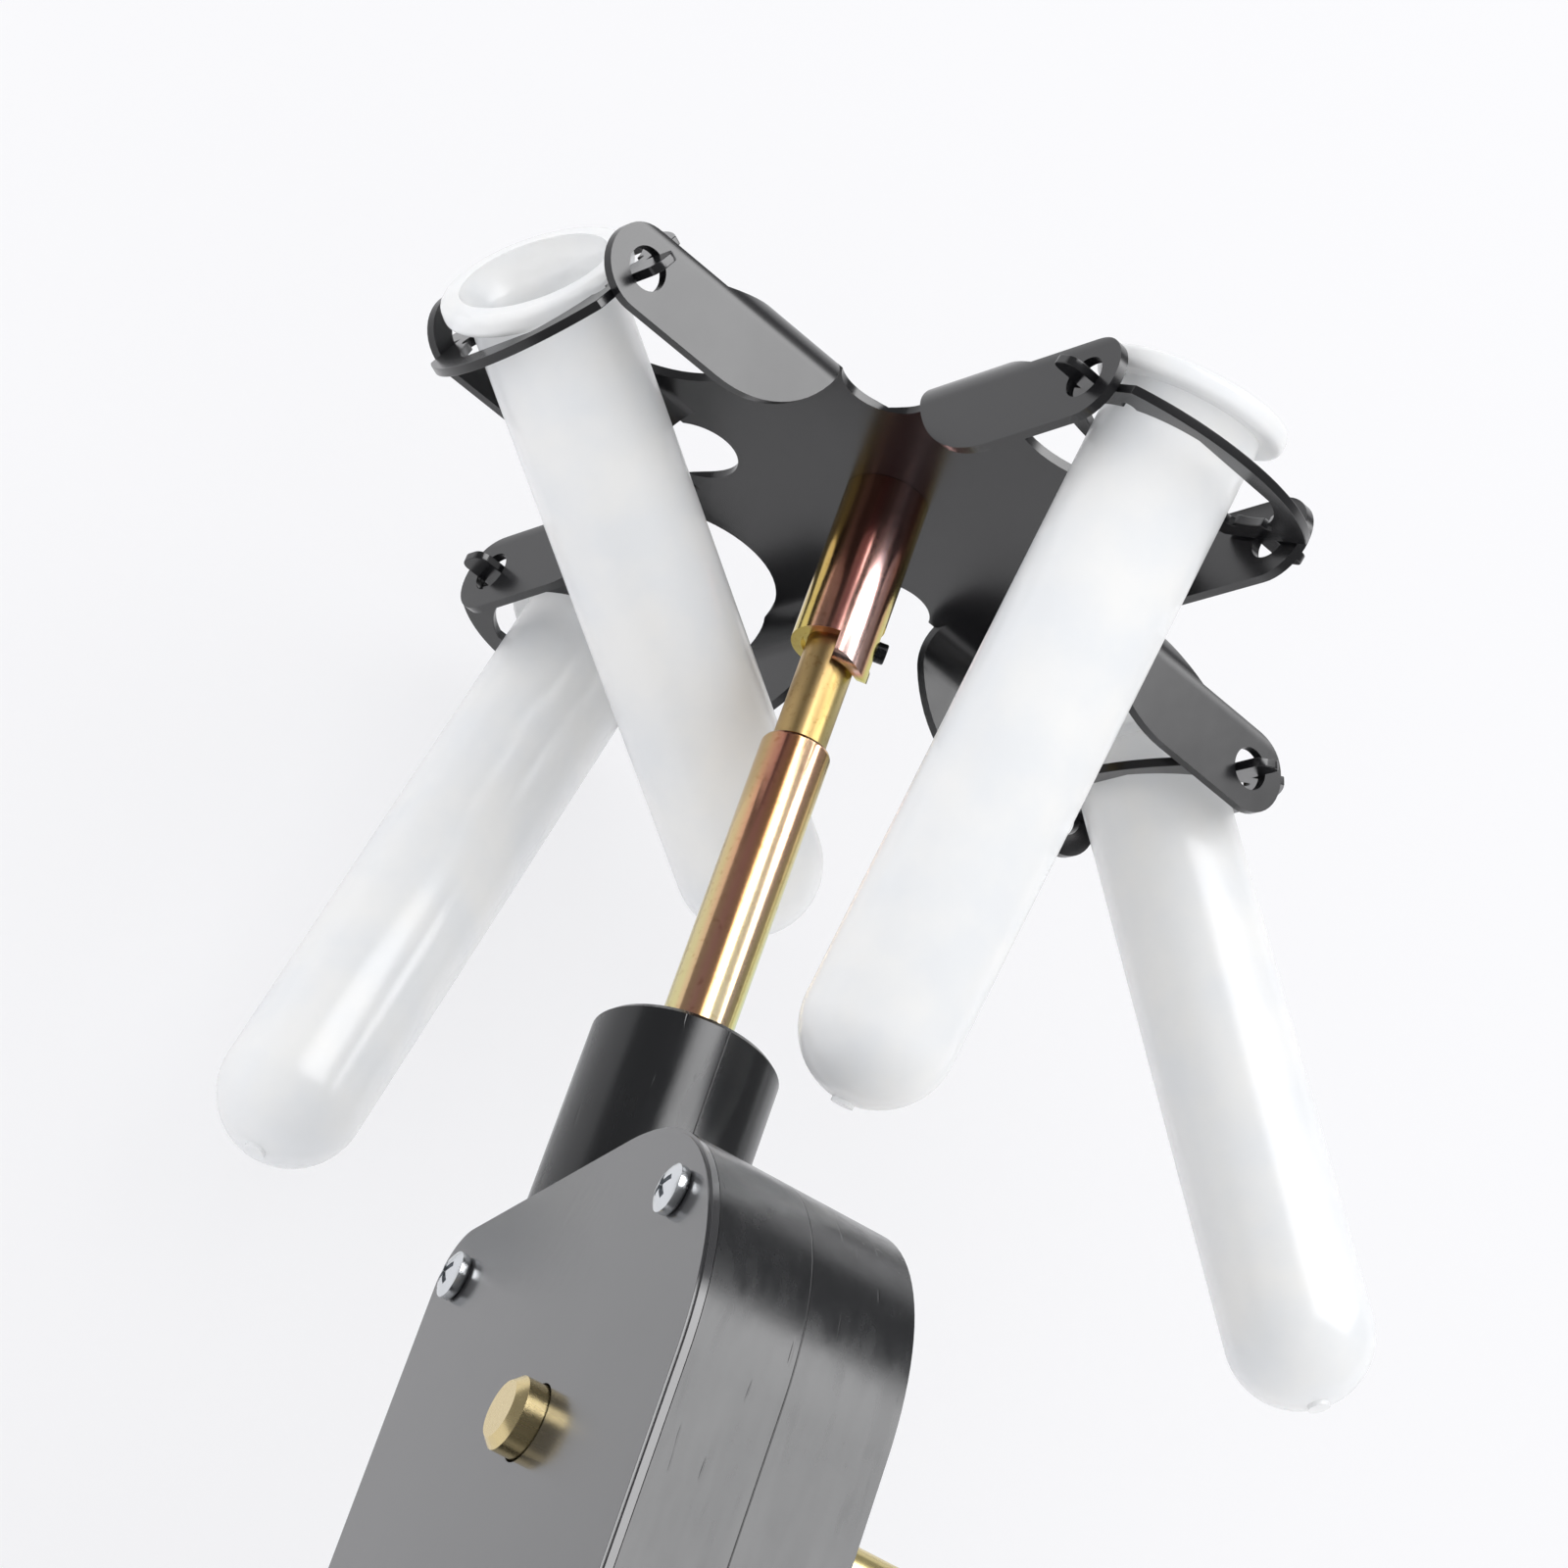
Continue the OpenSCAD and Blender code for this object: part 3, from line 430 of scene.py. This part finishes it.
# The socket's light band at 8 degrees is a painted highlight, and its dark band at -30 degrees is
# painted shade.
socket_film_and_painted_reflection = yellow_zinc(
    "yellow_zinc_socket",
    [(-150, "#cfbf72"), (-72, "#d3bf68"), (-52, "#dfae92"), (-30, "#c08078"), (-12, "#dcb4a6"),
     (8, "#f1dcda"), (28, "#cf9a84"), (42, "#cdc56c"), (130, "#cfbf72")],
    pinker=(180, 206), roughness=(0.09, 0.26))
rod_film = yellow_zinc(
    "yellow_zinc_rod",
    [(-150, "#cdb27c"), (-20, "#c9ad78"), (14, "#cbb070"), (30, "#d8ca8e"), (130, "#cdb27c")],
    pinker=(100, 400), roughness=(0.26, 0.42))
shaft_film = yellow_zinc(
    "yellow_zinc_shaft",
    [(-150, "#dcc998"), (-20, "#dcc998"), (60, "#d8c88c"), (130, "#dcc998")],
    pinker=(100, 400), roughness=(0.20, 0.34), grain=along_y, spotting=0.12)

for node, edge, film in (("spindle_sleeve", 0.30, sleeve_film_and_painted_reflection), ("rotor_socket", 0.14, socket_film_and_painted_reflection),
                         ("spindle_rod", 0.1, rod_film), ("crank_shaft", 0.1, shaft_film)):
    paint(soft_edged(node, edge * mm), film)

# ---------------------------------------------------------------------------
# Drive pin. A short steel pin in black oxide, set across the rod. It is oily
# where the slot of the rotor's socket sits over it.
oxide, tree, oxide_shader, place = new_finish("black_oxide")
oil = add_node(tree, "TexNoise", {"Vector": place, "Scale": 700.0})
set_roughness(tree, oxide_shader, oil, low=0.15, high=0.45)
oxide_shader.inputs["Base Color"].default_value = linear("#1a1b1d")
oxide_shader.inputs["Metallic"].default_value = 0.6
paint(soft_edged("drive_pin", 0.25 * mm), oxide)

# ---------------------------------------------------------------------------
# Rotor, rings and crank arm. Pressed from sheet steel and dipped in black
# lacquer, which is glossy and a little uneven where it ran.
lacquer, tree, lacquer_shader, place = new_finish("dipped_lacquer")
flow = add_node(tree, "TexNoise", {"Vector": place, "Scale": 160.0, "Detail": 2.0})
set_relief(tree, lacquer_shader, flow, strength=0.05, depth=0.4)
film = add_node(tree, "TexNoise", {"Vector": place, "Scale": 45.0, "Detail": 4.0})
set_roughness(tree, lacquer_shader, film, low=0.14, high=0.30)
lacquer_shader.inputs["Base Color"].default_value = linear("#161618")
lacquer_shader.inputs["IOR"].default_value = 1.54

# Round notches in the corners between the arms, in degrees and mm.
rotor_turn = 14.75
notch_radius = 6.5
notch_out = 28.6
notch_height = 209
notch_depth = 14
round_sides = 96
notches = []
for quarter in range(4):
    turn = math.radians(rotor_turn + 45 + 90 * quarter)
    bpy.ops.object.select_all(action="DESELECT")
    bpy.ops.mesh.primitive_cylinder_add(
        vertices=round_sides, radius=notch_radius * mm, depth=notch_depth * mm,
        location=(notch_out * math.cos(turn) * mm, notch_out * math.sin(turn) * mm,
                  notch_height * mm))
    notches.append(bpy.context.object)
paint(soft_edged("rotor_plate", 0.25 * mm, cutters=notches), lacquer)
for node in ("ring_a", "ring_b", "ring_c", "ring_d", "crank_arm"):
    paint(soft_edged(node, 0.25 * mm), lacquer)

# ---------------------------------------------------------------------------
# Tubes. Moulded in natural polypropylene: milky, soft to the light and glossy
# outside, with a thick flange, a flared mouth and a gate nub on the round foot.
polypropylene, tree, tube_shader, place = new_finish("natural_polypropylene")
cloud = add_node(tree, "TexNoise", {"Vector": place, "Scale": 90.0, "Detail": 3.0})
set_roughness(tree, tube_shader, cloud, low=0.14, high=0.30)
milk = add_node(tree, "ValToRGB", {"Fac": cloud.outputs[0]})
for end, position, colour in zip(milk.color_ramp.elements, (0.35, 0.65), ("#f6f8fa", "#fdfdfc")):
    end.position = position
    end.color = linear(colour)
tree.links.new(milk.outputs[0], tube_shader.inputs["Base Color"])
tube_shader.inputs["Alpha"].default_value = 0.74
tube_shader.inputs["IOR"].default_value = 1.49

# The tube's profile, in mm from under the flange.
outer_r = 10.65
inner_r = 9.25
tube_length = 105.6
flange_r = 13.6
flange_t = 3.4
flange_corner = 1.2
nub_r = 1.6
nub_drop = 0.5
round_steps = 14
mouth_steps = 7
corner_steps = 5
foot_z = flange_t - tube_length + outer_r


def arc(centre, radius, start, end, steps):
    """Points along an arc, in degrees from outwards to up."""
    turns = [math.radians(start + (end - start) * i / steps) for i in range(steps + 1)]
    return [(centre[0] + radius * math.cos(t), centre[1] + radius * math.sin(t)) for t in turns]


nub_turn = -math.degrees(math.acos(nub_r / outer_r))
mouth_turn = -math.degrees(math.acos(inner_r / outer_r))
nub_z = foot_z - outer_r - nub_drop
tube_outline = ([(0, nub_z), (nub_r, nub_z)]
                + arc((0, foot_z), outer_r, nub_turn, 0, round_steps)
                + [(outer_r, 0)]
                + arc((flange_r - flange_corner, flange_corner), flange_corner,
                      -90, 0, corner_steps)
                + arc((flange_r - flange_corner, flange_t - flange_corner), flange_corner,
                      0, 90, corner_steps)
                + arc((0, flange_t), outer_r, 0, mouth_turn, mouth_steps)
                + arc((0, foot_z), inner_r, 0, -90, round_steps))

bpy.ops.object.select_all(action="DESELECT")
bpy.ops.mesh.primitive_plane_add(size=mm, location=(0, 0, 0))
first_tube = bpy.context.object
bpy.ops.object.mode_set(mode="EDIT")
bpy.ops.mesh.merge(type="CENTER")
bpy.ops.transform.translate(value=(0, 0, tube_outline[0][1] * mm))
for (r0, z0), (r1, z1) in zip(tube_outline, tube_outline[1:]):
    bpy.ops.mesh.extrude_vertices_move(
        TRANSFORM_OT_translate={"value": ((r1 - r0) * mm, 0, (z1 - z0) * mm)})
bpy.ops.mesh.select_all(action="SELECT")
bpy.ops.mesh.spin(steps=round_sides, angle=2 * math.pi, center=(0, 0, 0), axis=(0, 0, 1))
bpy.ops.mesh.select_all(action="SELECT")
bpy.ops.mesh.remove_doubles(threshold=weld_gap)
bpy.ops.mesh.normals_make_consistent(inside=False)
bpy.ops.object.mode_set(mode="OBJECT")
bpy.ops.object.shade_smooth_by_angle(angle=math.radians(smooth_angle))

# Each tube hangs in its ring, leaning and slid in it as it came to rest: arm turn, ring
# swing, lean (degrees), then slip along the hinge, drop across it and seat height (mm).
hinge_height = 202.2
hinge_radius = 61.9
tube_rests = {"tube_a": (0, -65.4, -15.6, -1.6, 0, 2.15),
              "tube_b": (90, -20, 5, -1.75, 1.35, 5.95),
              "tube_c": (270, 0.8, 11.2, -0.15, 0, 1.8),
              "tube_d": (180, 23.6, -18, 0.1, 0, 5)}
for node, (arm_turn, swing, lean, slip, drop, seat) in tube_rests.items():
    tube = first_tube.copy()
    tube.data = first_tube.data.copy()
    tube.name = node + "_finished"
    bpy.context.collection.objects.link(tube)
    tube.data.transform(Matrix.Translation((0, 0, hinge_height * mm))
                        @ Matrix.Rotation(math.radians(rotor_turn + arm_turn), 4, "Z")
                        @ Matrix.Translation((0, -hinge_radius * mm, 0))
                        @ Matrix.Rotation(math.radians(-swing), 4, "X")
                        @ Matrix.Translation((slip * mm, drop * mm, 0))
                        @ Matrix.Rotation(math.radians(-lean), 4, "Y")
                        @ Matrix.Translation((0, 0, seat * mm)))
    paint(tube, polypropylene)
    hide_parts(node)
    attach(tube, nodes[node]["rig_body"])
bpy.data.objects.remove(first_tube)

# ---------------------------------------------------------------------------
# Crank grip. A hollow handle that turns on its bolt, moulded from the same
# black plastic as the case.
paint(soft_edged("crank_grip", 0.4 * mm), moulded_abs)

# ---------------------------------------------------------------------------
# Clamp bracket. Cast iron under a textured black powder coat, held under the
# case by two bolts.
powder, tree, powder_shader, place = new_finish("powder_coat")
pimples = add_node(tree, "TexNoise", {"Vector": place, "Scale": 1100.0, "Detail": 2.0})
set_relief(tree, powder_shader, pimples, strength=0.3, depth=0.15)
set_roughness(tree, powder_shader, pimples, low=0.4, high=0.6)
powder_shader.inputs["Base Color"].default_value = linear("#19191b")
paint(soft_edged("clamp_bracket", 0.8 * mm), powder)

# ---------------------------------------------------------------------------
# Gears, pins, spacer and bushes of the drive, and the clamp's bolts. The worm,
# pins, spacer and bolts are turned steel; wheel and bushes are oiled bronze.
turned_steel, tree, steel_shader, place = new_finish("turned_steel")
tool_marks = add_node(tree, "TexNoise", {"Vector": place, "Scale": 1500.0, "Detail": 2.0})
set_roughness(tree, steel_shader, tool_marks, low=0.22, high=0.4)
steel_shader.inputs["Base Color"].default_value = linear("#a8abb0")
steel_shader.inputs["Metallic"].default_value = 1.0
for node in ("worm", "worm_pin", "wheel_pin", "spacer", "clamp_bolts"):
    paint(soft_edged(node, edge=0), turned_steel)

oiled_bronze, tree, bronze_shader, place = new_finish("oiled_bronze")
pores = add_node(tree, "TexNoise", {"Vector": place, "Scale": 1300.0, "Detail": 2.0})
set_roughness(tree, bronze_shader, pores, low=0.28, high=0.5)
bronze_shader.inputs["Base Color"].default_value = linear("#b98a4e")
bronze_shader.inputs["Metallic"].default_value = 1.0
for node in ("worm_wheel", "rear_bush", "lower_bush"):
    paint(soft_edged(node, edge=0), oiled_bronze)
